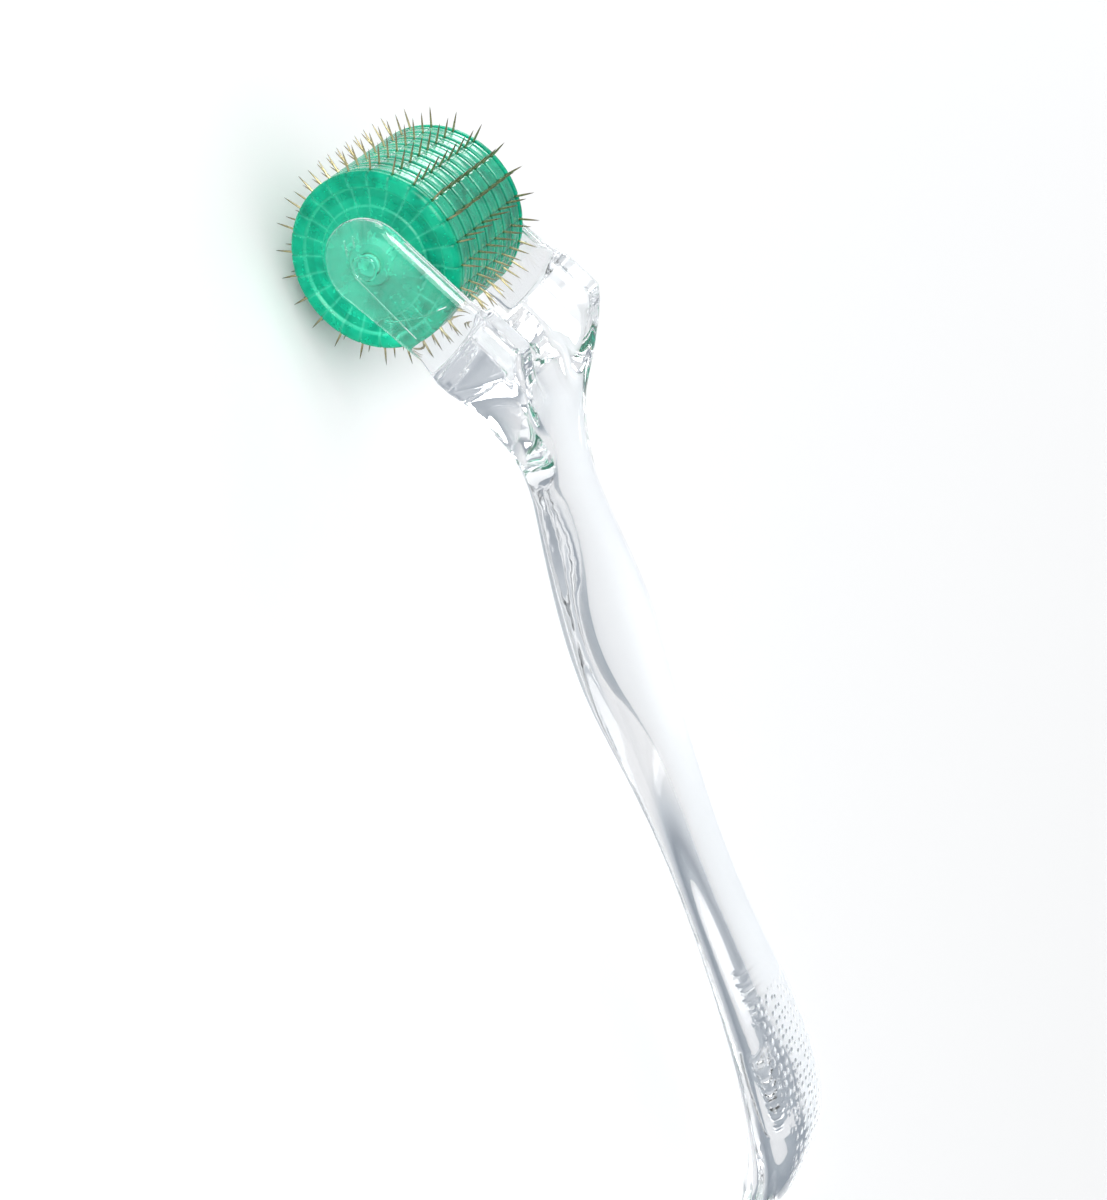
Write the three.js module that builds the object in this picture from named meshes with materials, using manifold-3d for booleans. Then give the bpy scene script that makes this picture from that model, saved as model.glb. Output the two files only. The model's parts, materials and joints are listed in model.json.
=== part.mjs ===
// Derma roller: a clear forked handle with a green roller of needle rings that turns on an axle.
// Millimetres. +X runs from the roller to the tail, +Y along the axle, +Z up from the table.
// It lies on the table as it is put down: on its lowest needle tips and on the tip of its tail.
// Every piece is drawn about the centre of the axle, and the whole is set on the table at the end.

import * as THREE from "three";
import { mergeVertices } from "three/addons/utils/BufferGeometryUtils.js";
import Module from "manifold-3d";

const wasm = await Module();
wasm.setup();

// ---------- driving dimensions ----------

// Roller: end cap, seven spacer discs, end cap, with a ring of needles in each joint between them.
const ROLLER_RADIUS = 11;
const ROLLER_WIDTH = 20;
const RING_COUNT = 8;
const RING_PITCH = 2.5;
const NEEDLES_PER_RING = 24;
const NEEDLE_REACH = 2.5;
const NEEDLE_DIAMETER = 0.25;
const NEEDLE_POINT = 1.1;
const CARRIER_THICKNESS = 0.3;

// Running parts.
const AXLE_RADIUS = 1.35;
const HUB_RADIUS = 3.1;
const STACK_PIN_RADIUS = 0.45;
const STACK_PIN_CIRCLE = 7.2;
const STACK_PINS = 3;

// Fork of the handle.
const ARM_ANGLE = THREE.MathUtils.degToRad(27.5);
const ARM_RADIUS = 5.9;
const ARM_LENGTH = 14.9;
const ARM_INNER = 10.6;
const ARM_OUTER = 12.6;
const YOKE_OUTER = 13.3;
const THROAT_RADIUS = 15;
const SADDLE_RADIUS = 9;
const SADDLE_ANGLE = THREE.MathUtils.degToRad(22.5);
const SADDLE_END = [24.5, 10.2];

// Clearances.
const RUNNING_FIT = 0.09;
const CLOSE_FIT = 0.1;
const PRESS_FIT = 0.05;
const FACE_GAP = 0.02;
const CARRIER_GAP = 0.03;

// Smoothness.
const ROLLER_SEGMENTS = 36;
const SHAFT_SEGMENTS = 20;
const PIN_SEGMENTS = 8;
const GRIP_SIDES = 20;
const GRIP_STATIONS = 34;

// ---------- sizes worked out from them ----------

const TIP_RADIUS = ROLLER_RADIUS + NEEDLE_REACH;
const FIRST_RING = (-RING_PITCH * (RING_COUNT - 1)) / 2;
const NEEDLE_STEP = (2 * Math.PI) / NEEDLES_PER_RING;
const GROOVE_HALF = CARRIER_THICKNESS / 2 + CARRIER_GAP;
const BORE_RADIUS = AXLE_RADIUS + RUNNING_FIT;
const HUB_SEAT = HUB_RADIUS + CLOSE_FIT;
const HUB_HALF = ROLLER_WIDTH / 2 - 1.05;
const PIN_HALF = ROLLER_WIDTH / 2 - 0.5;
const BOSS_RADIUS = 8.1;
const CARRIER_INNER = BOSS_RADIUS + 0.2;
const CARRIER_OUTER = CARRIER_INNER + 0.8;

// ---------- materials ----------

const clearPlastic = new THREE.MeshStandardMaterial({
  color: 0xeaf1f3,
  roughness: 0.06,
  metalness: 0,
  transparent: true,
  opacity: 0.4,
});
const greenPlastic = new THREE.MeshStandardMaterial({ color: 0x0fb488, roughness: 0.18, metalness: 0 });
const needleSteel = new THREE.MeshStandardMaterial({ color: 0xa7925c, roughness: 0.3, metalness: 1 });

// ---------- solids ----------

/** A closed three.js geometry as a solid that can be joined and cut. */
function solid(geometry) {
  const bare = geometry.clone();
  bare.deleteAttribute("normal");
  bare.deleteAttribute("uv");
  const merged = mergeVertices(bare, 1e-4);
  const mesh = new wasm.Mesh({
    numProp: 3,
    vertProperties: new Float32Array(merged.attributes.position.array),
    triVerts: new Uint32Array(merged.index.array),
  });
  return new wasm.Manifold(mesh);
}

/** The surface of a solid as a flat-shaded three.js geometry. */
function surface(made) {
  const mesh = made.getMesh();
  const geometry = new THREE.BufferGeometry();
  geometry.setAttribute("position", new THREE.BufferAttribute(new Float32Array(mesh.vertProperties), 3));
  geometry.setIndex(new THREE.BufferAttribute(new Uint32Array(mesh.triVerts), 1));
  const flat = geometry.toNonIndexed();
  flat.computeVertexNormals();
  return flat;
}

function namedMesh(name, geometry, material) {
  const mesh = new THREE.Mesh(geometry, material);
  mesh.name = name;
  return mesh;
}

/** A round piece about the axle: its profile is [radius, place along the axle], and closes itself. */
function turned(profile, segments) {
  const points = [...profile, profile[0]].map(([radius, along]) => new THREE.Vector2(radius, along));
  return new THREE.LatheGeometry(points, segments);
}

/** A round rod along the axle's direction, at a place in the side view. */
function rod(radius, length, segments, x = 0, z = 0) {
  return new THREE.CylinderGeometry(radius, radius, length, segments).translate(x, 0, z);
}

/** A side-view outline (x, z) given thickness along Y, centred on the middle plane. */
function sidePlate(shape, width) {
  const plate = new THREE.ExtrudeGeometry(shape, { depth: width, bevelEnabled: false, curveSegments: 12 });
  return plate.translate(0, 0, -width / 2).rotateX(Math.PI / 2);
}

/** A plan-view outline (x, y) given height along Z. */
function planPlate(shape, low, high) {
  const plate = new THREE.ExtrudeGeometry(shape, { depth: high - low, bevelEnabled: false, curveSegments: 8 });
  return plate.translate(0, 0, low);
}

// ---------- handle ----------

// The grip's middle line in the side view, and its half width and half thickness at each point.
const GRIP = [
  { at: [21, 7.6], half: [6.2, 2.2] },
  { at: [26, 6.8], half: [6.2, 3.2] },
  { at: [31, 6.0], half: [5.5, 3.4] },
  { at: [40, 4.6], half: [6.2, 3.8] },
  { at: [52, 3.2], half: [7.2, 5.0] },
  { at: [62, 2.1], half: [7.3, 4.8] },
  { at: [72, 1.6], half: [7.0, 3.6] },
  { at: [83, 0.9], half: [6.7, 2.6] },
  { at: [94, 0.1], half: [6.9, 2.4] },
  { at: [104, -0.5], half: [7.8, 2.8] },
  { at: [113, -1.2], half: [8.9, 3.3] },
  { at: [121, -2.7], half: [9.6, 3.6] },
  { at: [128, -5.6], half: [9.8, 3.5] },
  { at: [132.8, -9.9], half: [9.4, 3.0] },
  { at: [135.1, -13.0], half: [8.8, 2.4] },
];
const GRIP_SQUARENESS = 2.3;
const TAIL_SQUARENESS = 2.6;
const TAIL_ROUND_WIDTH = 9;
const TAIL_ROUND_THICKNESS = 2.6;

/** 1 along the grip, falling to 0 over the last stretch of the tail as a quarter superellipse does. */
function roundOff(fromEnd, stretch, squareness) {
  const share = Math.max(0, 1 - fromEnd / stretch);
  return (1 - share ** squareness) ** (1 / squareness);
}

/** The grip: a unit cylinder whose rings become rounded-rectangle sections square to the middle line. */
function gripGeometry() {
  const line = new THREE.CatmullRomCurve3(GRIP.map(({ at }) => new THREE.Vector3(at[0], 0, at[1])));
  const halves = new THREE.CatmullRomCurve3(GRIP.map(({ half }) => new THREE.Vector3(half[0], half[1], 0)));
  const length = line.getLength();
  const tube = new THREE.CylinderGeometry(1, 1, 1, GRIP_SIDES, GRIP_STATIONS);
  const place = tube.getAttribute("position");
  for (let i = 0; i < place.count; i++) {
    const share = 1 - (0.5 - place.getY(i)) ** 1.4;
    const t = line.getUtoTmapping(share);
    const middle = line.getPoint(t);
    const along = line.getTangent(t);
    const half = halves.getPoint(t);
    const fromEnd = length * (1 - share);
    const width = half.x * roundOff(fromEnd, TAIL_ROUND_WIDTH, TAIL_SQUARENESS);
    const thickness = half.y * roundOff(fromEnd, TAIL_ROUND_THICKNESS, 2);
    const side = squared(place.getX(i)) * width;
    const up = squared(place.getZ(i)) * thickness;
    place.setXYZ(i, middle.x - along.z * up, -side, middle.z + along.x * up);
  }
  return tube;
}

/** A cosine or sine made fuller, so that a circle becomes a superellipse. */
function squared(value) {
  return Math.sign(value) * Math.abs(value) ** (2 / GRIP_SQUARENESS);
}

/** Side view of the fork: round arm end about the axle, straight arm, yoke, and a nose inside the grip. */
function forkSideShape() {
  const shape = new THREE.Shape();
  shape.absarc(0, 0, ARM_RADIUS, ARM_ANGLE + Math.PI / 2, ARM_ANGLE - Math.PI / 2 + 2 * Math.PI, false);
  shape.lineTo(15.6, 2.2);
  shape.splineThru([new THREE.Vector2(20.5, 4.3), new THREE.Vector2(26, 4.0), new THREE.Vector2(34, 4.4)]);
  shape.lineTo(34, 7.2);
  shape.splineThru([new THREE.Vector2(26.2, 9.9), new THREE.Vector2(20.5, 12.6), new THREE.Vector2(15.6, 14.5)]);
  shape.closePath();
  return shape;
}

/** Plan view of the fork: parallel sides, then flat shoulders that close in on the neck. */
function forkPlanShape() {
  const shape = new THREE.Shape();
  shape.moveTo(-ARM_RADIUS - 1, -YOKE_OUTER);
  shape.lineTo(17.5, -YOKE_OUTER);
  shape.splineThru([new THREE.Vector2(23.5, -10.2), new THREE.Vector2(28.5, -6.6), new THREE.Vector2(34, -3.6)]);
  shape.lineTo(34, 3.6);
  shape.splineThru([new THREE.Vector2(28.5, 6.6), new THREE.Vector2(23.5, 10.2), new THREE.Vector2(17.5, YOKE_OUTER)]);
  shape.lineTo(-ARM_RADIUS - 1, YOKE_OUTER);
  shape.closePath();
  return shape;
}

/** What is taken off one arm's outer face, so that the yoke stands proud of the arm at its root. */
function armRelief(side) {
  const size = 60;
  const relief = new THREE.BoxGeometry(size, size, size);
  relief.translate(ARM_LENGTH - size / 2, side * (ARM_OUTER + size / 2), 0);
  return relief.rotateY(-ARM_ANGLE);
}

/** The saddle between the shoulders: a round channel that runs out on the top of the yoke. */
function saddleGeometry() {
  const length = 60;
  const channel = new THREE.CylinderGeometry(SADDLE_RADIUS, SADDLE_RADIUS, length, 40);
  channel.rotateZ(-Math.PI / 2).translate(0, 0, SADDLE_RADIUS).rotateY(-SADDLE_ANGLE);
  return channel.translate(SADDLE_END[0], 0, SADDLE_END[1]);
}

function handleGeometry() {
  const side = solid(sidePlate(forkSideShape(), 2 * YOKE_OUTER));
  const plan = solid(planPlate(forkPlanShape(), -20, 30));
  const throat = solid(rod(THROAT_RADIUS, 2 * ARM_INNER, 48));
  const bore = solid(rod(AXLE_RADIUS + PRESS_FIT, 3 * ARM_OUTER, SHAFT_SEGMENTS));
  const fork = side
    .intersect(plan)
    .subtract(solid(armRelief(-1)))
    .subtract(solid(armRelief(1)))
    .subtract(throat)
    .subtract(solid(saddleGeometry()))
    .subtract(bore);
  return surface(fork.add(solid(gripGeometry()).subtract(throat)));
}

// ---------- roller ----------

/** Cuts the holes for the stack pins through a round piece. */
function withPinHoles(geometry) {
  let made = solid(geometry);
  for (let i = 0; i < STACK_PINS; i++) {
    const { x, z } = stackPinPlace(i);
    made = made.subtract(solid(rod(STACK_PIN_RADIUS + CLOSE_FIT, 2 * ROLLER_WIDTH, PIN_SEGMENTS, x, z)));
  }
  return surface(made);
}

function stackPinPlace(index) {
  const angle = Math.PI / 2 + (index * 2 * Math.PI) / STACK_PINS;
  return { x: STACK_PIN_CIRCLE * Math.cos(angle), z: STACK_PIN_CIRCLE * Math.sin(angle) };
}

/** A spacer disc: a boss that meets its neighbours, and a thinner rim that leaves the needle grooves. */
function spacerDiscGeometry() {
  const boss = RING_PITCH / 2 - FACE_GAP;
  const rim = RING_PITCH / 2 - GROOVE_HALF;
  const profile = [
    [HUB_SEAT, -boss],
    [BOSS_RADIUS, -boss],
    [BOSS_RADIUS, -rim],
    [ROLLER_RADIUS, -rim],
    [ROLLER_RADIUS, rim],
    [BOSS_RADIUS, rim],
    [BOSS_RADIUS, boss],
    [HUB_SEAT, boss],
  ];
  return withPinHoles(turned(profile, ROLLER_SEGMENTS));
}

/** The end cap on the +Y side: raised rim, recessed web, a step, and a boss that faces the arm. */
function endCapGeometry() {
  const inner = -FIRST_RING;
  const outer = ROLLER_WIDTH / 2;
  const edge = 0.3;
  const web = outer - 0.45;
  const step = outer - 0.2;
  const thrust = outer + 0.3;
  const profile = [
    [HUB_SEAT, inner + FACE_GAP],
    [BOSS_RADIUS, inner + FACE_GAP],
    [BOSS_RADIUS, inner + GROOVE_HALF],
    [ROLLER_RADIUS, inner + GROOVE_HALF],
    [ROLLER_RADIUS, outer - edge],
    [ROLLER_RADIUS - edge, outer],
    [9.1, outer],
    [8.9, web],
    [6.8, web],
    [6.6, step],
    [2.8, step],
    [2.6, thrust],
    [BORE_RADIUS, thrust],
    [BORE_RADIUS, HUB_HALF + 0.05],
    [HUB_SEAT, HUB_HALF + 0.05],
  ];
  return withPinHoles(turned(profile, ROLLER_SEGMENTS));
}

/** One needle along +X: a shank in the carrier ring and a long point. */
function needleGeometry() {
  const root = CARRIER_INNER + 0.35;
  const profile = [
    new THREE.Vector2(0, root),
    new THREE.Vector2(NEEDLE_DIAMETER / 2, root),
    new THREE.Vector2(NEEDLE_DIAMETER / 2, TIP_RADIUS - NEEDLE_POINT),
    new THREE.Vector2(0, TIP_RADIUS),
  ];
  return new THREE.LatheGeometry(profile, 4).rotateZ(-Math.PI / 2);
}

/** A ring of needles, joined at their roots by a thin carrier ring. */
function needleRingGeometry() {
  const half = CARRIER_THICKNESS / 2;
  const carrier = turned(
    [
      [CARRIER_INNER, -half],
      [CARRIER_OUTER, -half],
      [CARRIER_OUTER, half],
      [CARRIER_INNER, half],
    ],
    NEEDLES_PER_RING,
  );
  let ring = solid(carrier);
  for (let i = 0; i < NEEDLES_PER_RING; i++) {
    ring = ring.add(solid(needleGeometry().rotateY((i + 0.5) * NEEDLE_STEP)));
  }
  return surface(ring);
}

function hubGeometry() {
  const profile = [
    [BORE_RADIUS, -HUB_HALF],
    [HUB_RADIUS, -HUB_HALF],
    [HUB_RADIUS, HUB_HALF],
    [BORE_RADIUS, HUB_HALF],
  ];
  return turned(profile, SHAFT_SEGMENTS);
}

/** Everything that turns: hub, end caps, spacer discs, needle rings and stack pins. */
function rollerGroup() {
  const roller = new THREE.Group();
  roller.add(namedMesh("hub", hubGeometry(), greenPlastic));

  const cap = endCapGeometry();
  const leftCap = namedMesh("end_cap_left", cap, greenPlastic);
  leftCap.rotation.z = Math.PI;
  roller.add(leftCap);
  roller.add(namedMesh("end_cap_right", cap, greenPlastic));

  const disc = spacerDiscGeometry();
  for (let i = 1; i < RING_COUNT; i++) {
    const spacer = namedMesh(`spacer_disc_${i}`, disc, greenPlastic);
    spacer.position.y = FIRST_RING + (i - 0.5) * RING_PITCH;
    roller.add(spacer);
  }

  const ring = needleRingGeometry();
  for (let i = 0; i < RING_COUNT; i++) {
    const needles = namedMesh(`needle_ring_${i + 1}`, ring, needleSteel);
    needles.position.y = FIRST_RING + i * RING_PITCH;
    roller.add(needles);
  }

  for (let i = 0; i < STACK_PINS; i++) {
    const pin = namedMesh(`stack_pin_${i + 1}`, rod(STACK_PIN_RADIUS, 2 * PIN_HALF, PIN_SEGMENTS), greenPlastic);
    const { x, z } = stackPinPlace(i);
    pin.position.set(x, 0, z);
    roller.add(pin);
  }
  return roller;
}

// ---------- assembly ----------

const dermaRoller = new THREE.Group();
dermaRoller.add(namedMesh("handle", handleGeometry(), clearPlastic));
dermaRoller.add(namedMesh("axle", rod(AXLE_RADIUS, 2 * ARM_OUTER, SHAFT_SEGMENTS), greenPlastic));
dermaRoller.add(rollerGroup());

// Set on the table, with the middle of its length over the origin.
const box = new THREE.Box3().setFromObject(dermaRoller, true);
dermaRoller.position.set(-(box.min.x + box.max.x) / 2, 0, -box.min.z);

export default dermaRoller;
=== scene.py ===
import json
import math

import bpy
import numpy as np
from mathutils import Matrix, Vector

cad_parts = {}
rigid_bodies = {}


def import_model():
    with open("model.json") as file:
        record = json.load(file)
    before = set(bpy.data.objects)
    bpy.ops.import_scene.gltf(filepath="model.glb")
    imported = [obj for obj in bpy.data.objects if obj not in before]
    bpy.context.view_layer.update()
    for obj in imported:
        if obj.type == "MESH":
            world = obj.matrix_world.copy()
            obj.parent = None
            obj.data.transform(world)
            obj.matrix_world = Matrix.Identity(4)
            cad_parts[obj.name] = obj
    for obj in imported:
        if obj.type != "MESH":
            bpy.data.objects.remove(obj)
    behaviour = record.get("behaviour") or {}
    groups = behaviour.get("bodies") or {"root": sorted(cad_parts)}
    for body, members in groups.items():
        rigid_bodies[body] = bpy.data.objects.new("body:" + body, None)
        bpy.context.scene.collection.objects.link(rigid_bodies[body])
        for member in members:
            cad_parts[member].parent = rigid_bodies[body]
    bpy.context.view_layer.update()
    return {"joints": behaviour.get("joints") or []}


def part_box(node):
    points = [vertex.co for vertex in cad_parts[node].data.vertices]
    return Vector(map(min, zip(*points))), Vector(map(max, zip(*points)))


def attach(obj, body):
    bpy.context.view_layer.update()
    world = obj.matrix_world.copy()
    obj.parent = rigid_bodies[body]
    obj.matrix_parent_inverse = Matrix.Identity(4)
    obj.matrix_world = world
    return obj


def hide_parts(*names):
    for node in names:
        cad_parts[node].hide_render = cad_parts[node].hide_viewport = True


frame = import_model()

bl_info = {
    "name": "Derma roller",
    "version": (1, 0, 0),
    "blender": (4, 5, 0),
    "location": "3D View > Sidebar > Derma roller",
    "description": "Makes a clear forked handle with a green roller of needle rings around its packed frame",
    "category": "Add Mesh",
}

MM = 0.001
HINGE = frame["joints"][0]
AXLE = np.array(HINGE["pos_m"])
HANDLE_BODY = HINGE["parent"]
ROLLER_BODY = HINGE["child"]

RING_COUNT = 8
NEEDLES_PER_RING = 24
NEEDLE_STEP = 2 * math.pi / NEEDLES_PER_RING


# ---------- sizes that a user would change ----------


class HandleSettings(bpy.types.PropertyGroup):
    """Sizes and colours of the clear handle."""

    voxel: bpy.props.FloatProperty(
        name="Net step", description="Step of the grid that the handle's skin is drawn on, mm",
        default=0.36, min=0.25, max=1.0,
    )
    edge_round: bpy.props.FloatProperty(
        name="Edge rounding", description="Rounding of the fork's moulded edges, mm",
        default=0.7, min=0.2, max=2.0,
    )
    neck_blend: bpy.props.FloatProperty(
        name="Neck blend", description="How far the grip flows into the yoke, mm",
        default=2.4, min=0.2, max=5.0,
    )
    tint: bpy.props.FloatVectorProperty(
        name="Clear plastic", description="Tint of the clear plastic", subtype="COLOR", size=3,
        default=(0.845, 0.858, 0.875), min=0, max=1,
    )


class RollerSettings(bpy.types.PropertyGroup):
    """Sizes and colours of what turns on the axle."""

    radius: bpy.props.FloatProperty(
        name="Disc radius", description="Radius of the discs, mm", default=11.0, min=5, max=20,
    )
    pitch: bpy.props.FloatProperty(
        name="Ring pitch", description="Distance between two needle rings, mm", default=2.5, min=1, max=5,
    )
    tip_radius: bpy.props.FloatProperty(
        name="Tip radius", description="Radius of the circle of needle tips, mm", default=13.5, min=6, max=25,
    )
    needle_diameter: bpy.props.FloatProperty(
        name="Needle diameter", description="Thickness of a needle's shank, mm",
        default=0.29, min=0.1, max=0.6,
    )
    green: bpy.props.FloatVectorProperty(
        name="Green plastic", description="Body colour of the discs", subtype="COLOR", size=3,
        default=(0.0, 0.57, 0.335), min=0, max=1,
    )
    gold: bpy.props.FloatVectorProperty(
        name="Needle metal", description="Colour of the needles", subtype="COLOR", size=3,
        default=(0.50, 0.45, 0.26), min=0, max=1,
    )


class StageSettings(bpy.types.PropertyGroup):
    """Floor, light and camera."""

    floor_size: bpy.props.FloatProperty(
        name="Floor size", description="Side of the floor",
        default=12.0, min=1, subtype="DISTANCE", unit="LENGTH",
    )
    lens: bpy.props.FloatProperty(
        name="Lens", description="Focal length of the camera",
        default=103.8, min=20, max=300, unit="CAMERA",
    )
    floor_colour: bpy.props.FloatVectorProperty(
        name="Floor", description="Colour of the floor", subtype="COLOR", size=3,
        default=(0.93, 0.935, 0.94), min=0, max=1,
    )


# ---------- small helpers ----------


def add_mesh(name, points_mm, faces, body, replaced):
    """A mesh from points in millimetres about the axle's centre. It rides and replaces."""
    mesh = bpy.data.meshes.new(name)
    mesh.from_pydata((np.asarray(points_mm) * MM + AXLE).tolist(), [], faces)
    mesh.validate()
    mesh.update()
    mesh.polygons.foreach_set("use_smooth", np.ones(len(mesh.polygons), bool))
    piece = bpy.data.objects.new(name, mesh)
    bpy.context.scene.collection.objects.link(piece)
    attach(piece, body)
    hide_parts(*replaced)
    return piece


def add_value(piece, name, values):
    """One number for each vertex of a piece, which its material reads."""
    attribute = piece.data.attributes.new(name, "FLOAT", "POINT")
    attribute.data.foreach_set("value", np.asarray(values, np.float32).ravel())


def grid_faces(rows, columns, close_rows, close_columns):
    """Quads of a grid of points, whose row i and column j is point i * columns + j.

    Either way may close on itself.
    """
    i = np.arange(rows if close_rows else rows - 1)
    j = np.arange(columns if close_columns else columns - 1)
    i, j = np.meshgrid(i, j, indexing="ij")
    down, across = (i + 1) % rows, (j + 1) % columns
    quads = np.stack(
        [i * columns + j, down * columns + j, down * columns + across, i * columns + across], -1
    )
    return quads.reshape(-1, 4).tolist()


def rounded(corners, radii, steps=4):
    """A closed outline with its corners rounded.

    Each corner c with radius r gives points from a = c + r (previous - c)/|previous - c| to b, the same towards
    the next corner, along the quadratic (1 - t)^2 a + 2 t (1 - t) c + t^2 b.
    """
    corners = np.asarray(corners, float)
    before = np.roll(corners, 1, 0) - corners
    after = np.roll(corners, -1, 0) - corners
    reach = np.asarray(radii, float)[:, None]
    start = corners + before / np.linalg.norm(before, axis=1, keepdims=True) * reach
    end = corners + after / np.linalg.norm(after, axis=1, keepdims=True) * reach
    t = np.linspace(0, 1, steps)[None, :, None]
    made = (1 - t) ** 2 * start[:, None] + 2 * t * (1 - t) * corners[:, None] + t**2 * end[:, None]
    return made.reshape(-1, 2)


def turned_grid(profile, angles):
    """Radius, place along the axle and angle of each point of a turned piece, all of one shape."""
    return np.broadcast_arrays(profile[:, 0][:, None], profile[:, 1][:, None], angles[None, :])


def full_turn(count):
    """Even angles all the way round."""
    return np.linspace(0, 2 * math.pi, count, endpoint=False)


def turned(profile, angles, lift=None):
    """A round closed piece: profile point (r, y) at angle a stands at (r cos a, y, r sin a).

    lift(r, y, a) may move the grid: it returns the new r and y.
    """
    radius, along, angle = turned_grid(profile, angles)
    if lift is not None:
        radius, along = lift(radius, along, angle)
    points = np.stack([radius * np.cos(angle), along, radius * np.sin(angle)], -1).reshape(-1, 3)
    return points, grid_faces(len(profile), len(angles), True, True)


def needle_angles():
    """Angle of each needle of a ring."""
    return (np.arange(NEEDLES_PER_RING) + 0.5) * NEEDLE_STEP


def from_needle(angle):
    """Signed angle from the nearest row of needles."""
    return (angle / NEEDLE_STEP - np.floor(angle / NEEDLE_STEP) - 0.5) * NEEDLE_STEP


def bell(value, width):
    """1 where the value is nought, falling smoothly to nothing over a few widths."""
    return np.exp(-((value / width) ** 2))


def climb(value, start, width):
    """0 up to the start, rising straight to 1 over the width."""
    return np.clip((value - start) / width, 0, 1)


def band(value, low, high, ease):
    """1 between two places, falling straight to 0 at both of them."""
    return climb(value, low, ease) * np.clip((high - value) / ease, 0, 1)


# ---------- materials ----------


def new_material(name):
    """A material with one Principled shader on its surface."""
    material = bpy.data.materials.new(name)
    material.use_nodes = True
    tree = material.node_tree
    tree.nodes.clear()
    output = tree.nodes.new("ShaderNodeOutputMaterial")
    shader = tree.nodes.new("ShaderNodeBsdfPrincipled")
    tree.links.new(shader.outputs["BSDF"], output.inputs["Surface"])
    return material, tree, shader, output


def node(tree, kind, **values):
    """A node with its plain inputs and settings given by name; a blank in a name is an underscore."""
    made = tree.nodes.new(kind)
    for key, value in values.items():
        socket = made.inputs.get(key.replace("_", " "))
        if socket is not None:
            socket.default_value = value
        else:
            setattr(made, key, value)
    return made


def noise(tree, scale, detail=3.0, roughness=0.5, distortion=0.0):
    """Clouds that stay on the piece; the scale is in clouds for each metre."""
    place = node(tree, "ShaderNodeTexCoord")
    made = node(
        tree, "ShaderNodeTexNoise", Scale=scale, Detail=detail, Roughness=roughness, Distortion=distortion
    )
    tree.links.new(place.outputs["Object"], made.inputs["Vector"])
    return made.outputs["Fac"]


def ramp(tree, source, stops):
    """A colour for each value: stops are pairs of a place from 0 to 1 and a colour."""
    made = node(tree, "ShaderNodeValToRGB")
    elements = made.color_ramp.elements
    while len(elements) < len(stops):
        elements.new(0.5)
    for element, (place, colour) in zip(elements, stops):
        element.position = place
        element.color = (*colour, 1)
    tree.links.new(source, made.inputs["Fac"])
    return made.outputs["Color"]


def spread(tree, source, low, high, to_low=0.0, to_high=1.0):
    """A value from low to high spread over another range, and held at its ends."""
    made = node(tree, "ShaderNodeMapRange", From_Min=low, From_Max=high, To_Min=to_low, To_Max=to_high)
    tree.links.new(source, made.inputs["Value"])
    return made.outputs["Result"]


def combine(tree, operation, first, second=0.0):
    """One step of sums on two sockets or numbers; a step on one value leaves the second out."""
    made = node(tree, "ShaderNodeMath", operation=operation)
    for socket, source in zip(made.inputs, (first, second)):
        if isinstance(source, (int, float)):
            socket.default_value = source
        else:
            tree.links.new(source, socket)
    return made.outputs["Value"]


def mixed(tree, factor, first, second):
    """The first colour where the factor is 0 and the second where it is 1."""
    made = node(tree, "ShaderNodeMix", data_type="RGBA", blend_type="MIX")
    colours = [s for s in made.inputs if s.type == "RGBA"]
    for socket, source in zip([made.inputs[0], *colours], (factor, first, second)):
        if isinstance(source, (int, float)):
            socket.default_value = source
        elif isinstance(source, tuple):
            socket.default_value = (*source, 1)
        else:
            tree.links.new(source, socket)
    return [s for s in made.outputs if s.type == "RGBA"][0]


def value_of(tree, name):
    """The number that add_value gave to each vertex."""
    return node(tree, "ShaderNodeAttribute", attribute_name=name).outputs["Fac"]


def bump(tree, shader, height, distance, strength=1.0):
    """Relief in the shading alone; the distance is that of a height of 1, in metres."""
    made = node(tree, "ShaderNodeBump", Strength=strength, Distance=distance)
    tree.links.new(height, made.inputs["Height"])
    tree.links.new(made.outputs["Normal"], shader.inputs["Normal"])


# Fine moulding lines on the arms' outer faces, as pairs of points (x, z) in mm about the axle's centre.
ARM_LINES = (
    ((0.58, -1.61), (9.93, 2.42)), ((6.66, -0.4), (7.23, 0.76)), ((7.23, 0.76), (7.71, 4.86)),
    ((7.71, 4.86), (7.61, 7.94)), ((-5.4, -0.5), (-2.02, -1.41)), ((-4.71, 0.6), (-2.83, 0.04)),
)
LINE_HALF, LINE_FADE = 0.12, 0.15
RING_RADIUS, RING_HALF = 1.5, 0.18
OUTER_FACE = (12.45, 12.55)

# Relief in the clear plastic, mm: flow waves, moulding lines, and the tail's dots, their spacing and radius.
WAVE_HEIGHT, LINE_HEIGHT, DOT_HEIGHT = 0.02, 0.2, 0.3
DOT_PITCH, DOT_RADIUS = 1.25, 0.5

LAMP_TINT = (0.93, 0.95, 0.95)
# Colours of the painted light (highlights on edges) and painted shade (in grooves and slots) of the green
# plastic.
PAINTED_LIGHT_GREEN = (0.12, 0.92, 0.62)
PAINTED_SHADE_GREEN = (0.0, 0.12, 0.075)
WORN_GOLD = (0.25, 0.2, 0.1)
NEEDLE_TIP_DARK = (0.03, 0.028, 0.022)


def scaled(colour, factor):
    """A colour made lighter or darker."""
    return tuple(channel * factor for channel in colour)


def place_in_mm(tree):
    """Object coordinates as x, y and z in millimetres about the axle's centre."""
    place = node(tree, "ShaderNodeTexCoord")
    centred = node(tree, "ShaderNodeMapping")
    centred.inputs["Location"].default_value = tuple(-AXLE / MM)
    centred.inputs["Scale"].default_value = (1 / MM,) * 3
    tree.links.new(place.outputs["Object"], centred.inputs["Vector"])
    split = node(tree, "ShaderNodeSeparateXYZ")
    tree.links.new(centred.outputs["Vector"], split.inputs["Vector"])
    return centred.outputs["Vector"], split.outputs["X"], split.outputs["Y"], split.outputs["Z"]


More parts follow.
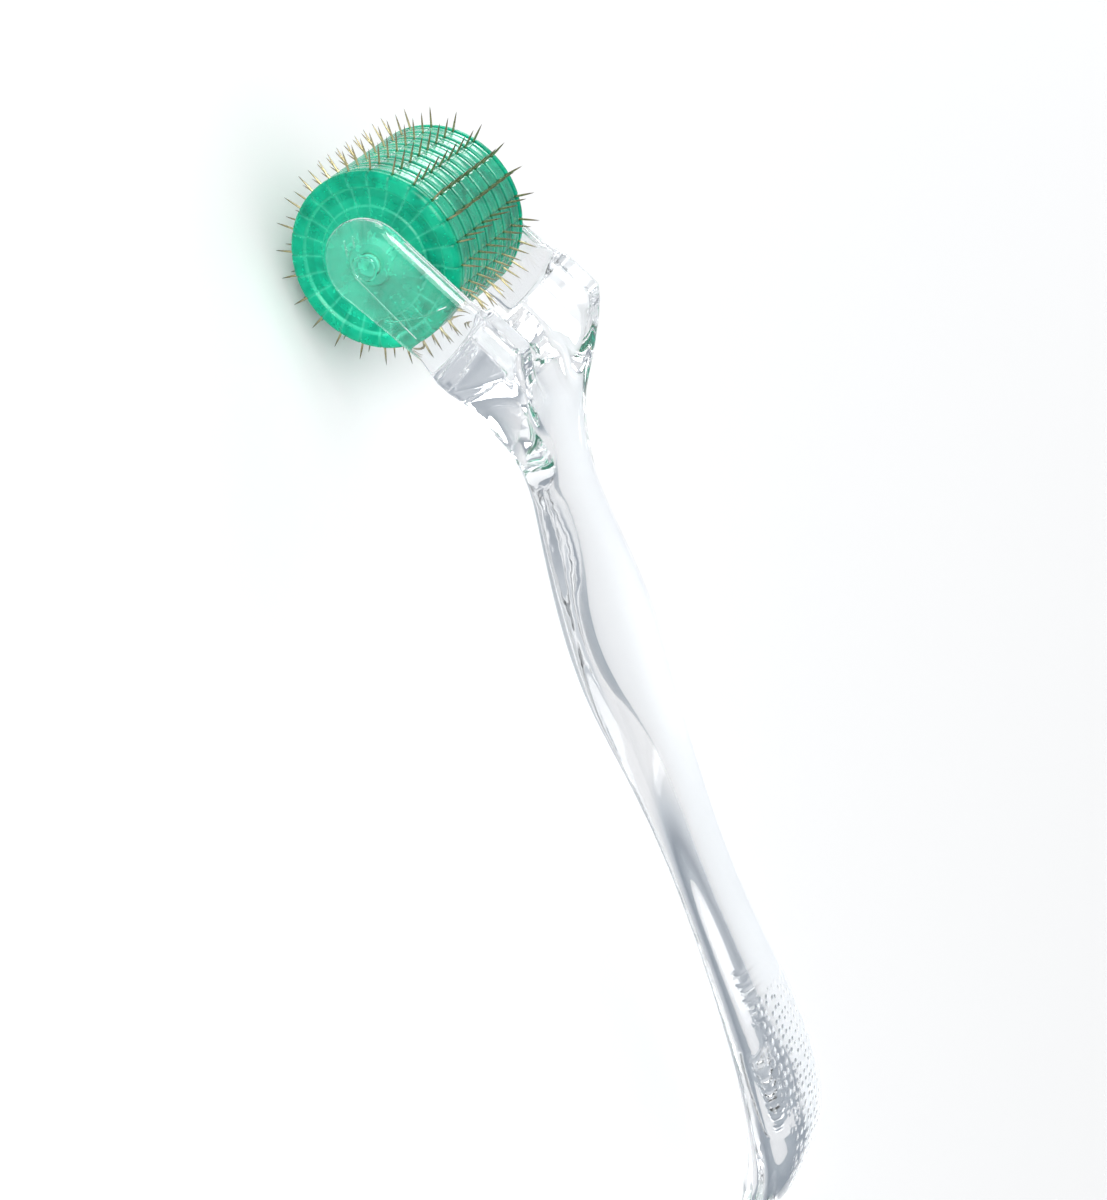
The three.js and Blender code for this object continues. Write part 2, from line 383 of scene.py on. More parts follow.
def plane(tree, x, z, a, b, c):
    """a x + b z + c"""
    rest = combine(tree, "ADD", combine(tree, "MULTIPLY", z, b), c)
    return combine(tree, "ADD", combine(tree, "MULTIPLY", x, a), rest)


def line_mark(tree, x, z, start, end):
    """1 on a straight line between two points of the side view, falling to 0 at its edges and ends."""
    (ax, az), (bx, bz) = start, end
    length = math.hypot(bx - ax, bz - az)
    ux, uz = (bx - ax) / length, (bz - az) / length
    off = combine(tree, "ABSOLUTE", plane(tree, x, z, -uz, ux, uz * ax - ux * az))
    across = spread(tree, off, 0.0, LINE_HALF, 1.0, 0.0)
    along = combine(tree, "ABSOLUTE", plane(tree, x, z, ux, uz, -ux * ax - uz * az - length / 2))
    ends = spread(tree, along, length / 2, length / 2 + LINE_FADE, 1.0, 0.0)
    return combine(tree, "MULTIPLY", across, ends)


def arm_marks(tree, x, y, z):
    """The moulding lines and the ring round the axle's end, on the arms' outer faces only."""
    squares = combine(tree, "ADD", combine(tree, "MULTIPLY", x, x), combine(tree, "MULTIPLY", z, z))
    off_ring = combine(tree, "SUBTRACT", combine(tree, "SQRT", squares), RING_RADIUS)
    marks = spread(tree, combine(tree, "ABSOLUTE", off_ring), 0.0, RING_HALF, 1.0, 0.0)
    for start, end in ARM_LINES:
        marks = combine(tree, "MAXIMUM", marks, line_mark(tree, x, z, start, end))
    outer = spread(tree, combine(tree, "ABSOLUTE", y), *OUTER_FACE)
    return combine(tree, "MULTIPLY", marks, outer)


def raised_dots(tree, place):
    """Small domes in slightly uneven rows: 1 at the middle of a dome, 0 between them."""
    cells = node(tree, "ShaderNodeTexVoronoi", voronoi_dimensions="2D", Scale=1 / DOT_PITCH, Randomness=0.5)
    tree.links.new(place, cells.inputs["Vector"])
    return spread(tree, cells.outputs["Distance"], 0.0, DOT_RADIUS / DOT_PITCH, 1.0, 0.0)


def clear_plastic_material(tint):
    """Clear moulded acrylic: glass that lets lamps through, faintly wavy, with faint flow in its gloss."""
    material, tree, shader, output = new_material("clear_acrylic")
    shader.inputs["Transmission Weight"].default_value = 1.0
    shader.inputs["IOR"].default_value = 1.49
    shader.inputs["Roughness"].default_value = 0.02
    cloud = ramp(tree, noise(tree, 60.0, 4.0), [(0.3, scaled(tint, 0.985)), (0.7, tuple(tint))])
    tree.links.new(cloud, shader.inputs["Base Color"])
    place, x, y, z = place_in_mm(tree)
    waves = combine(tree, "MULTIPLY", noise(tree, 220.0, 2.0, 0.4), WAVE_HEIGHT)
    marks = combine(tree, "MULTIPLY", arm_marks(tree, x, y, z), LINE_HEIGHT)
    dots = combine(tree, "MULTIPLY", raised_dots(tree, place), value_of(tree, "tail_dots"))
    flow = combine(tree, "ADD", waves, marks)
    bump(tree, shader, combine(tree, "ADD", flow, combine(tree, "MULTIPLY", dots, DOT_HEIGHT)), MM)
    lamps = node(tree, "ShaderNodeBsdfTransparent", Color=(*LAMP_TINT, 1))
    path = node(tree, "ShaderNodeLightPath")
    mix = node(tree, "ShaderNodeMixShader")
    tree.links.new(path.outputs["Is Shadow Ray"], mix.inputs[0])
    tree.links.new(shader.outputs["BSDF"], mix.inputs[1])
    tree.links.new(lamps.outputs["BSDF"], mix.inputs[2])
    tree.links.new(mix.outputs["Shader"], output.inputs["Surface"])
    return material


def green_plastic_material(name, green, shine=0.15, coat=0.0):
    """Translucent emerald plastic: clouded colour, with painted highlights and painted light on its edges and
    the caps' middles, and painted shade in its grooves, notches and the slots between discs.
    """
    material, tree, shader, _ = new_material(name)
    shader.inputs["IOR"].default_value = 1.3
    shader.inputs["Coat Weight"].default_value = coat
    shader.inputs["Coat Roughness"].default_value = 0.1
    shader.inputs["Transmission Weight"].default_value = 0.42
    shader.inputs["Specular IOR Level"].default_value = shine
    light = tuple(min(1.0, channel * 1.25 + 0.02) for channel in green)
    cloud = noise(tree, 260.0, 4.0, 0.6, 0.6)
    body = ramp(tree, cloud, [(0.3, scaled(green, 0.5)), (0.52, tuple(green)), (0.75, light)])
    # Painted light on edges and painted shade in grooves, from each piece's own values.
    body = mixed(tree, value_of(tree, "painted_light"), body, PAINTED_LIGHT_GREEN)
    body = mixed(tree, value_of(tree, "painted_shade"), body, PAINTED_SHADE_GREEN)
    tree.links.new(body, shader.inputs["Base Color"])
    tree.links.new(spread(tree, noise(tree, 900.0, 2.0), 0.3, 0.7, 0.2, 0.3), shader.inputs["Roughness"])
    bump(tree, shader, noise(tree, 1500.0, 3.0), 0.01 * MM, 0.2)
    return material


def needle_material(gold):
    """Gold-tinted steel drawn to a point: drawing lines along it, darker towards the tip."""
    material, tree, shader, _ = new_material("needle_steel")
    shader.inputs["Metallic"].default_value = 1.0
    # The needle's colour is darker at the root and nearly black at the tip.
    stops = [(0.0, scaled(gold, 0.6)), (0.5, tuple(gold)), (0.8, scaled(gold, 0.5)), (1.0, NEEDLE_TIP_DARK)]
    body = ramp(tree, value_of(tree, "towards_tip"), stops)
    body = mixed(tree, spread(tree, noise(tree, 3000.0, 2.0), 0.35, 0.65, 0.0, 0.35), body, WORN_GOLD)
    tree.links.new(body, shader.inputs["Base Color"])
    tree.links.new(spread(tree, noise(tree, 4000.0, 2.0), 0.3, 0.7, 0.22, 0.4), shader.inputs["Roughness"])
    return material


# ---------- the clear handle ----------

# The grip from neck to tail: x and z of its middle line in the side view, half width, half thickness.
GRIP = np.array([
    (21, 7.6, 6.2, 2.2), (26, 6.8, 6.2, 3.2), (31, 6.0, 5.5, 3.4), (40, 4.6, 6.2, 3.8), (52, 3.2, 7.2, 5.0),
    (62, 2.1, 7.3, 4.8), (72, 1.6, 7.0, 3.6), (83, 0.9, 6.7, 2.6), (94, 0.1, 6.9, 2.4), (104, -0.5, 7.8, 2.8),
    (113, -1.2, 8.9, 3.3), (121, -2.7, 9.6, 3.6), (128, -5.6, 9.8, 3.5), (132.8, -9.9, 9.4, 3.0),
    (135.1, -13.0, 8.8, 2.4),
])
GRIP_SQUARENESS = 2.3
GRIP_START = -1.0
TAIL_ROUND = 9.0
TAIL_SQUARENESS = 2.6

ARM_ANGLE = math.radians(27.5)
ARM_RADIUS = 6.1
ARM_LENGTH = 14.9
ARM_INNER = 10.6
ARM_OUTER = 12.6
THROAT_RADIUS = 15.0
SADDLE_RADIUS = 9.0
SADDLE_ANGLE = math.radians(22.5)
SADDLE_END = (24.5, 10.2)

# How far each arm goes on inside the yoke. Less than a quarter of the neck's blend leaves cracks in the skin.
ARM_ROOT = 1.6

# How far each edge is eased, mm: the arms' and the yoke's come on top of the edge rounding.
ARM_EASE, ARM_EASE_FADE, YOKE_EASE = 2.4, 3.0, 0.7
THROAT_EASE, ROOT_EASE, YOKE_END_EASE, JOIN_EASE, SADDLE_EASE, GRIP_END_EASE = 0.6, 0.2, 0.4, 0.12, 1.2, 1.0

# A distance straight across the slanting plan outline, times this, is about the distance square to it.
PLAN_LEAN = 0.86

# Raised dots on the tail's top: where they start and end along it, and half the width that they cover.
DOTS_START, DOTS_END, DOTS_HALF = 84.5, 112.0, 6.0
DOTS_FADE_IN, DOTS_FADE = 2.0, 1.5

# Thumb scoop on the tail's underside: middle along the grip, half length, half width, depth, and how flat its
# bottom is (0 for a flat one, 1 for a round one).
SCOOP_MIDDLE, SCOOP_LENGTH, SCOOP_WIDTH, SCOOP_DEPTH, SCOOP_ROUND = 100.0, 6.8, 2.6, 0.5, 0.75

# Smooth lines of the fork, by their points: its side view below and above the arm, and half of its plan view.
FORK_LOWER = ((15.6, 2.2), (20.5, 4.3), (26, 4.0), (34, 4.4))
FORK_UPPER = ((34, 7.2), (26.2, 9.9), (20.5, 12.6), (15.6, 14.5))
FORK_PLAN = ((17.5, 13.3), (23.5, 10.2), (28.5, 6.6), (34, 3.6))

AXLE_RADIUS, AXLE_HALF, AXLE_EASE = 1.35, 10.8, 0.12

# The space that the handle's skin is looked for in.
HANDLE_LOW = (-7.0, -14.2, -14.6)
HANDLE_HIGH = (137.5, 14.2, 15.8)

# Search for the nearest point of the grip's middle line: rounds, longest step, how far past its ends it may go.
SEARCH_ROUNDS, SEARCH_STEP, PAST_START, PAST_END = 5, 4.0, 3.0, 4.0


class SmoothLine:
    """A natural cubic spline through points, all their numbers as one function of chord length.

    The first two numbers of a point are its place.
    """

    def __init__(self, points):
        knots = np.concatenate([[0], np.cumsum(np.linalg.norm(np.diff(points[:, :2], axis=0), axis=1))])
        gap = np.diff(knots)
        count = len(points)
        system = np.zeros((count, count))
        right = np.zeros((count, points.shape[1]))
        system[0, 0] = system[-1, -1] = 1
        for i in range(1, count - 1):
            system[i, i - 1 : i + 2] = gap[i - 1], 2 * (gap[i - 1] + gap[i]), gap[i]
            right[i] = 6 * ((points[i + 1] - points[i]) / gap[i] - (points[i] - points[i - 1]) / gap[i - 1])
        self.bend = np.linalg.solve(system, right)
        self.knots, self.gap, self.points = knots, gap, points
        self.length = knots[-1]

    def at(self, s, order=0):
        """Value, first or second derivative at s; past either end the line goes on straight."""
        inner = np.clip(s, 0, self.length)
        i = np.clip(np.searchsorted(self.knots, inner, side="right") - 1, 0, len(self.gap) - 1)
        h = self.gap[i][..., None]
        b = ((inner - self.knots[i]) / self.gap[i])[..., None]
        a = 1 - b
        p, q, m, n = self.points[i], self.points[i + 1], self.bend[i], self.bend[i + 1]
        slope = (q - p) / h + h / 6 * (-(3 * a**2 - 1) * m + (3 * b**2 - 1) * n)
        if order == 1:
            return slope
        if order == 2:
            return np.where(((s > 0) & (s < self.length))[..., None], a * m + b * n, 0)
        return a * p + b * q + h**2 / 6 * ((a**3 - a) * m + (b**3 - b) * n) + slope * (s - inner)[..., None]


def smooth_min(a, b, k):
    """The smaller of two distances, with a fillet of about k between the two surfaces."""
    h = np.maximum(k - np.abs(a - b), 0) / k
    return np.minimum(a, b) - h * h * k / 4


def smooth_max(a, b, k):
    """The larger of two distances, with the edge between them rounded by about k."""
    return -smooth_min(-a, -b, k)


def outline_distance(x, z, outline):
    """Signed distance in a plane from a closed outline, below nought inside it.

    The least distance to any of its straight pieces, with the sign from how often a ray along +x crosses it.
    """
    best = np.full(np.broadcast(x, z).shape, 1e9)
    inside = np.zeros(best.shape, bool)
    ends = np.roll(outline, -1, 0)
    for (ax, az), (bx, bz) in zip(outline, ends):
        ex, ez = bx - ax, bz - az
        t = np.clip(((x - ax) * ex + (z - az) * ez) / (ex * ex + ez * ez), 0, 1)
        best = np.minimum(best, (x - ax - t * ex) ** 2 + (z - az - t * ez) ** 2)
        if az != bz:
            inside ^= ((az > z) != (bz > z)) & (x < ex * (z - az) / ez + ax)
    return np.where(inside, -1, 1) * np.sqrt(best)


def spline_points(points, count):
    """Evenly spaced points of the smooth line through a few."""
    line = SmoothLine(np.array(points, float))
    return line.at(np.linspace(0, line.length, count))


def fork_outline():
    """Side view of the fork: round arm end about the axle, straight arm, and the yoke down to the neck."""
    angles = np.linspace(ARM_ANGLE + math.pi / 2, ARM_ANGLE + 3 * math.pi / 2, 40)
    end = np.stack([ARM_RADIUS * np.cos(angles), ARM_RADIUS * np.sin(angles)], 1)
    return np.concatenate([end, spline_points(FORK_LOWER, 16), spline_points(FORK_UPPER, 16)])


class HandleShape:
    """The clear handle as one signed field in millimetres about the axle's centre, below nought inside it.

    Grip: with s along its middle line, n square to the line in the side view and t how far s has come into the
    tail's round end, ((|y|/a(s))^q + t^q)^(p/q) + |n/b(s)|^p = 1 is its skin, where p and q are the squareness
    of the section and of the tail.
    Fork: the side view's outline and the plan view's outline, both cut square, with everything within the
    throat's radius of the axle taken out between the arms, a step taken off each arm's outer face, and a round
    saddle taken off the top. Grip and fork flow together, and every edge is rounded by the blend.
    """

    def __init__(self, edge, neck):
        self.line = SmoothLine(GRIP)
        self.fork = fork_outline()
        self.plan_x, self.plan_y = spline_points(FORK_PLAN, 60).T
        self.edge, self.neck = edge, neck

    def along_grip(self, x, z):
        """The nearest point of the middle line, by Newton's method.

        It gives its place s, the offset n square to the line, what is left along it, and the grip's half width
        and half thickness there.
        """
        s = np.interp(x, GRIP[:, 0], self.line.knots)
        s = s + np.maximum(x - GRIP[-1, 0], 0) * 0.7
        for _ in range(SEARCH_ROUNDS):
            here, first, second = (self.line.at(s, order) for order in (0, 1, 2))
            dx, dz = here[..., 0] - x, here[..., 1] - z
            pull = dx * first[..., 0] + dz * first[..., 1]
            turn = first[..., 0] ** 2 + first[..., 1] ** 2 + dx * second[..., 0] + dz * second[..., 1]
            step = np.clip(pull / np.maximum(turn, 0.3), -SEARCH_STEP, SEARCH_STEP)
            s = np.clip(s - step, -PAST_START, self.line.length + PAST_END)
        here, first = self.line.at(s), self.line.at(s, 1)
        speed = np.hypot(first[..., 0], first[..., 1])
        offset = ((z - here[..., 1]) * first[..., 0] - (x - here[..., 0]) * first[..., 1]) / speed
        before = ((x - here[..., 0]) * first[..., 0] + (z - here[..., 1]) * first[..., 1]) / speed
        return s, offset, before, here[..., 2], here[..., 3]

    def side_terms(self, x, z):
        """Everything that depends on the side view alone."""
        s, offset, before, half_width, half_thick = self.along_grip(x, z)
        tail = np.maximum(s - (self.line.length - TAIL_ROUND), 0) / TAIL_ROUND
        fork = outline_distance(x, z, self.fork)
        half_plan = np.interp(x, self.plan_x, self.plan_y)
        reach = np.hypot(x, z)
        down_arm = x * math.cos(ARM_ANGLE) + z * math.sin(ARM_ANGLE)
        over = (z - SADDLE_END[1]) * math.cos(SADDLE_ANGLE) - (x - SADDLE_END[0]) * math.sin(SADDLE_ANGLE)
        return s + before, offset, half_width, half_thick, tail, fork, half_plan, reach, down_arm, over

    def grip_distance(self, terms, side):
        """Distance from the grip's skin, near enough: what its equation is out by, over the slope of that."""
        s, offset, half_width, half_thick, tail = terms[:5]
        p = GRIP_SQUARENESS
        q = TAIL_SQUARENESS
        across = ((side / half_width) ** q + tail**q) ** (1 / q) + 1e-9
        up = np.abs(offset) / half_thick + 1e-9
        total = (across**p + up**p) ** (1 / p)
        slope = total ** (1 - p) * np.hypot(across ** (p - 1) / half_width, up ** (p - 1) / half_thick)
        distance = (total - 1) / np.maximum(slope, 1 / half_width)
        bowl = 1 - ((s - SCOOP_MIDDLE) / SCOOP_LENGTH) ** 2 - (side / SCOOP_WIDTH) ** 2
        below = np.clip(-offset / half_thick, 0, 1)
        distance = distance + SCOOP_DEPTH * below * np.clip(bowl, 0, 1) ** SCOOP_ROUND
        return smooth_max(distance, GRIP_START - s, GRIP_END_EASE)

    def __call__(self, x, y, z):
        return self.with_side(self.side_terms(x, z), np.abs(y))

    def with_side(self, terms, side):
        """The field, from the side view's terms and the distance from the middle plane."""
        fork, half_plan, reach, down_arm, over = terms[5:]
        body = smooth_max(fork, (side - half_plan) * PLAN_LEAN, self.edge + YOKE_EASE)
        throat = smooth_max(reach - THROAT_RADIUS, side - ARM_INNER, THROAT_EASE)
        arm_edge = self.edge + ARM_EASE * np.clip((ARM_LENGTH - down_arm) / ARM_EASE_FADE, 0, 1)
        plate = smooth_max(fork, side - ARM_OUTER, arm_edge)
        plate = smooth_max(plate, down_arm - ARM_LENGTH - ARM_ROOT, ROOT_EASE)
        body = smooth_min(smooth_max(body, ARM_LENGTH - down_arm, YOKE_END_EASE), plate, JOIN_EASE)
        saddle = np.hypot(side, over - SADDLE_RADIUS) - SADDLE_RADIUS
        body = smooth_max(body, -saddle, SADDLE_EASE)
        whole = smooth_min(body, self.grip_distance(terms, side), self.neck)
        return smooth_max(whole, -throat, self.edge)


def net_of(values, low, step):
    """The skin where a field on a grid passes through nought, as quads that face outwards.

    Each cell that the skin cuts gets one point, the mean of where the skin cuts its edges; each grid edge that
    the skin cuts gets one quad between the points of the four cells around it.
    """
    inside = values < 0
    cells_shape = tuple(n - 1 for n in values.shape)
    corners = [(i, j, k) for i in (0, 1) for j in (0, 1) for k in (0, 1)]

    def shifted(array, corner):
        return array[tuple(slice(c, c + n) for c, n in zip(corner, cells_shape))]

    filled = sum(shifted(inside, corner).astype(np.int8) for corner in corners)
    active = (filled > 0) & (filled < 8)
    cells = np.argwhere(active)
    index = np.full(cells_shape, -1, np.int64)
    index[active] = np.arange(len(cells))
    total, hits = np.zeros((len(cells), 3)), np.zeros(len(cells))
    for first in corners:
        for axis in range(3):
            if first[axis]:
                continue
            second = list(first)
            second[axis] = 1
            a = values[tuple((cells + first).T)]
            b = values[tuple((cells + second).T)]
            cut = (a < 0) != (b < 0)
            share = np.where(cut, a / np.where(cut, a - b, 1), 0)
            place = np.array(first, float)[None] + share[:, None] * np.eye(3)[axis]
            total += np.where(cut[:, None], place, 0)
            hits += cut
    points = low + step * (cells + total / hits[:, None])

    quads = []
    for axis in range(3):
        u, v = (axis + 1) % 3, (axis + 2) % 3
        here = np.take(inside, range(values.shape[axis] - 1), axis)
        there = np.take(inside, range(1, values.shape[axis]), axis)
        edges = np.argwhere(here != there)
        edges = edges[(edges[:, u] > 0) & (edges[:, v] > 0)]
        outward = here[tuple(edges.T)]
        step_u, step_v = np.eye(3, dtype=int)[u], np.eye(3, dtype=int)[v]
        around = [edges, edges - step_u, edges - step_u - step_v, edges - step_v]
        quad = np.stack([index[tuple(cell.T)] for cell in around], 1)
        quads.append(np.where(outward[:, None], quad, quad[:, ::-1]))
    return points, np.concatenate(quads)


def slope_of(shape, points, h=0.01):
    """Gradient of a field at points, by central differences."""
    x, y, z = points.T
    return np.stack([
        shape(x + h, y, z) - shape(x - h, y, z),
        shape(x, y + h, z) - shape(x, y - h, z),
        shape(x, y, z + h) - shape(x, y, z - h),
    ], 1) / (2 * h)


def settle(shape, points):
    """Points moved on to the skin: p - f(p) grad f / |grad f|^2, no further than half a millimetre."""
    slope = slope_of(shape, points)
    away = shape(*points.T) / np.maximum((slope**2).sum(1), 0.05)
    step = away[:, None] * slope
    length = np.linalg.norm(step, axis=1, keepdims=True)
    return points - step * np.minimum(1, 0.5 / np.maximum(length, 1e-9))


def edges_of(quads):
    """The four edges of each quad, as pairs of points."""
    return np.concatenate([quads[:, [0, 1]], quads[:, [1, 2]], quads[:, [2, 3]], quads[:, [3, 0]]])


def evened(points, quads, rounds):
    """Each point moved half way to the mean of its neighbours, so that the net's quads become even."""
    start, end = edges_of(quads).T
    count = len(points)
    uses = np.bincount(start, minlength=count) + np.bincount(end, minlength=count)
    for _ in range(rounds):
        mean = np.stack([
            np.bincount(start, points[end, c], count) + np.bincount(end, points[start, c], count)
            for c in range(3)
        ], 1) / uses[:, None]
        points = points + 0.5 * (mean - points)
    return points


def open_edges(quads):
    """How many edges of a net don't have exactly two faces: nought when the skin is closed."""
    _, uses = np.unique(np.sort(edges_of(quads), 1), axis=0, return_counts=True)
    return int((uses != 2).sum())


class DERMA_OT_handle(bpy.types.Operator):
    """Make the clear handle: grip, yoke and two flat arms in one moulding"""

    bl_idname = "derma_roller.make_handle"
    bl_label = "Clear handle"

    def execute(self, context):
        settings = context.scene.derma_handle
        shape = HandleShape(settings.edge_round, settings.neck_blend)
        step = settings.voxel
        axes = [np.arange(low, high + step, step) for low, high in zip(HANDLE_LOW, HANDLE_HIGH)]
        terms = shape.side_terms(axes[0][:, None, None], axes[2][None, None, :])
        values = shape.with_side(terms, np.abs(axes[1])[None, :, None])
        points, quads = net_of(values, np.array(HANDLE_LOW), step)
        if open_edges(quads):
            raise RuntimeError("the handle's skin isn't closed: choose another net step")
        points = evened(settle(shape, points), quads, 3)
        for _ in range(3):
            points = settle(shape, points)
        piece = add_mesh("clear_handle", points, quads.tolist(), HANDLE_BODY, ["handle"])
        s, offset, _, half_thick = shape.side_terms(points[:, 0], points[:, 2])[:4]
        top = np.clip(offset / half_thick * 3, 0, 1)
        ends = climb(s, DOTS_START, DOTS_FADE_IN) * np.clip((DOTS_END - s) / DOTS_FADE, 0, 1)
        sides = np.clip((DOTS_HALF - np.abs(points[:, 1])) / DOTS_FADE, 0, 1)
        add_value(piece, "tail_dots", top * ends * sides)
        piece.data.materials.append(clear_plastic_material(tuple(settings.tint)))
        return {"FINISHED"}


class DERMA_OT_axle(bpy.types.Operator):
    """Make the axle: a green round pin whose ends are moulded into the arms"""

    bl_idname = "derma_roller.make_axle"
    bl_label = "Axle"

    def execute(self, context):
        radius, half, ease = AXLE_RADIUS, AXLE_HALF, AXLE_EASE
        corners = [(0.0, -half), (radius, -half), (radius, half), (0.0, half)]
        profile = rounded(corners, [0.0, ease, ease, 0.0], 5)
        # A pinhole of 0.02 mm down the middle keeps the grid's points apart there.
        profile[:, 0] = np.maximum(profile[:, 0], 0.02)
        points, faces = turned(profile, full_turn(64))
        piece = add_mesh("axle_pin", points, faces, HANDLE_BODY, ["axle"])
        # Painted highlight on the rim of each end of the axle.
        reach = np.hypot(points[:, 0], points[:, 2])
        at_end = (np.abs(points[:, 1]) > half - 2 * ease) & (reach > radius - 2 * ease)
        add_value(piece, "painted_light", at_end * 1.0)
        material = green_plastic_material("green_axle", tuple(context.scene.derma_roller.green))
        piece.data.materials.append(material)
        return {"FINISHED"}


# ---------- the roller ----------

# Offsets of a turned grid's lines from a row of needles, in degrees: close together at the row.
SECTOR = np.array([-7.5, -5.0, -2.8, -1.5, -0.9, -0.45, 0.0, 0.45, 0.9, 1.5, 2.8, 5.0])

# Bore and outside of the hub, bore of the discs, and the raised boss that two neighbours meet on, as radii.
HUB_BORE, HUB_RADIUS, DISC_BORE, BOSS_RADIUS = 1.44, 3.1, 3.2, 8.1
HUB_HALF = 8.95
DOWEL_RADIUS, DOWEL_HALF = 0.45, 9.6

# Notch in a rim at each row of needles, and seat in the caps' faces: depth in mm, spread in degrees.
NOTCH_DEPTH, NOTCH_SPREAD = 0.09, 0.55
SEAT_DEPTH, SEAT_SPREAD = 0.06, 0.6

# The inner side of each cap, and where its outer face begins.
CAP_INNER, CAP_FACE = 8.93, 9.4

# A needle from root to tip: radius from the axle and share of its full thickness.
NEEDLE_SIDES = 6
NEEDLE_STATIONS = (8.65, 9.3, 11.0, 12.0, 12.7, 13.2)
NEEDLE_TAPER = (1.0, 1.0, 1.0, 0.92, 0.66, 0.34, 0.05)
NEEDLE_ROOT = 9.0
CARRIER_INNER, CARRIER_OUTER, CARRIER_HALF = 8.3, 9.1, 0.14


def near_row(angle, degrees):
    """1 on a row of needles, falling away over a spread in degrees."""
    return bell(from_needle(angle), math.radians(degrees))


def disc_lift(radius, along, angle):
    """Shallow notches across the rim at each row of needles."""
    return radius - NOTCH_DEPTH * near_row(angle, NOTCH_SPREAD) * climb(radius, 10.2, 0.5), along


def first_ring(settings):
    """Place of the first needle ring along the axle."""
    return -settings.pitch * (RING_COUNT - 1) / 2


def green_piece(name, profile, replaced, light, dark, lift=disc_lift):
    """A turned piece of the roller; light and dark give how much painted light and painted shade its colour
    gets at each point.
    """
    angles = (needle_angles()[:, None] + np.radians(SECTOR)[None, :]).ravel()
    points, faces = turned(profile, angles, lift)
    piece = add_mesh(name, points, faces, ROLLER_BODY, [replaced])
    grid = turned_grid(profile, angles)
    add_value(piece, "painted_light", light(*grid))
    add_value(piece, "painted_shade", dark(*grid))
    return piece


class DERMA_OT_discs(bpy.types.Operator):
    """Make the seven spacer discs, with eased rims and a notch at each row of needles"""

    bl_idname = "derma_roller.make_discs"
    bl_label = "Spacer discs"

    def execute(self, context):
        settings = context.scene.derma_roller
        material = green_plastic_material("green_disc", tuple(settings.green), 0.25, 0.6)
        boss, rim = settings.pitch / 2 - 0.02, settings.pitch / 2 - 0.18
        top = settings.radius
        half = [
            (DISC_BORE, boss), (BOSS_RADIUS, boss), (BOSS_RADIUS, rim),
            (top, rim), (top, 0.45), (top - 0.07, 0.3),
        ]
        eases = [0.1, 0.05, 0.05, 0.22, 0.06, 0.06]
        outline = rounded([(r, -y) for r, y in half] + half[::-1], eases + eases[::-1])
        for i in range(1, RING_COUNT):
            middle = first_ring(settings) + (i - 0.5) * settings.pitch
            profile = outline + (0, middle)

            # Painted highlight along both edges of the rim.
            def light(radius, along, angle):
                return 0.55 * bell(np.abs(along - middle) - rim + 0.1, 0.08) * (radius > 10.5)

            # Painted shade in the notch at each row of needles and on the sides below the rim, in the slots
            # between discs.
            def dark(radius, along, angle):
                return 0.55 * near_row(angle, 0.6) * (radius > 10.4) + 0.6 * (radius < 10.75)

            piece = green_piece(f"disc_{i}", profile, f"spacer_disc_{i}", light, dark)
            piece.data.materials.append(material)
        return {"FINISHED"}


class DERMA_OT_caps(bpy.types.Operator):
    """Make the two end caps: raised rim, recessed web, step, thrust boss and radial needle seats"""

    bl_idname = "derma_roller.make_caps"
    bl_label = "End caps"

    def execute(self, context):
        settings = context.scene.derma_roller
        material = green_plastic_material("green_cap", tuple(settings.green))
        top = settings.radius
        # Radius and place along the axle of each corner, with its easing: inner side, rim, face, thrust boss.
        corners = np.array([
            (DISC_BORE, 8.77, 0.05), (BOSS_RADIUS, 8.77, 0.05), (BOSS_RADIUS, CAP_INNER, 0.05),
            (top, CAP_INNER, 0.12), (top, 9.45, 0.1), (top - 0.12, 9.7, 0.1), (top - 0.5, 10.0, 0.2),
            (9.3, 10.0, 0.12), (8.95, 9.6, 0.12), (8.0, 9.6, 0.05), (7.85, 9.55, 0.05), (6.95, 9.55, 0.12),
            (6.65, 9.8, 0.12), (2.85, 9.8, 0.1), (2.6, 10.3, 0.1), (HUB_BORE, 10.3, 0.1),
            (HUB_BORE, 9.0, 0.1), (DISC_BORE, 9.0, 0.1),
        ])
        outline = rounded(corners[:, :2], corners[:, 2])

        def lift(radius, along, angle):
            face = climb(np.abs(along), CAP_FACE, 0.1)
            seat = SEAT_DEPTH * near_row(angle, SEAT_SPREAD) * climb(radius, 6.4, 0.4) * face
            return disc_lift(radius, along, angle)[0], along - np.sign(along) * seat

        # Painted highlights along the needle seats and round the rim's inner edge and the step's edge, and
        # painted light on the middle, where the arm's round end lies over the cap.
        def light(radius, along, angle):
            away = np.abs(from_needle(angle))
            spokes = bell(away - math.radians(0.2), math.radians(0.8)) * band(radius, 6.3, 10.7, 0.5)
            arcs = bell(radius - 9.1, 0.12) + 0.8 * bell(radius - 6.8, 0.1)
            broken = 0.35 + 0.65 * np.clip(away / math.radians(1.5) - 0.5, 0, 1)
            middle = np.clip((6.6 - radius) / 0.3, 0, 1)
            pale = 0.55 * spokes + 0.9 * arcs * broken + 0.3 * middle
            return np.clip(pale * (np.abs(along) > CAP_FACE), 0, 1)

        # Painted shade in the rim's notches and in the recessed web.
        def dark(radius, along, angle):
            groove = band(radius, 7.9, 8.95, 0.15) * (np.abs(along) > CAP_FACE)
            return 0.4 * near_row(angle, 0.6) * (radius > 10.0) + 0.16 * groove

        for name, replaced, side in (("cap_left", "end_cap_left", -1), ("cap_right", "end_cap_right", 1)):
            profile = outline * (1, side)
            if side < 0:
                profile = profile[::-1]
            piece = green_piece(name, profile, replaced, light, dark, lift)
            piece.data.materials.append(material)
        return {"FINISHED"}


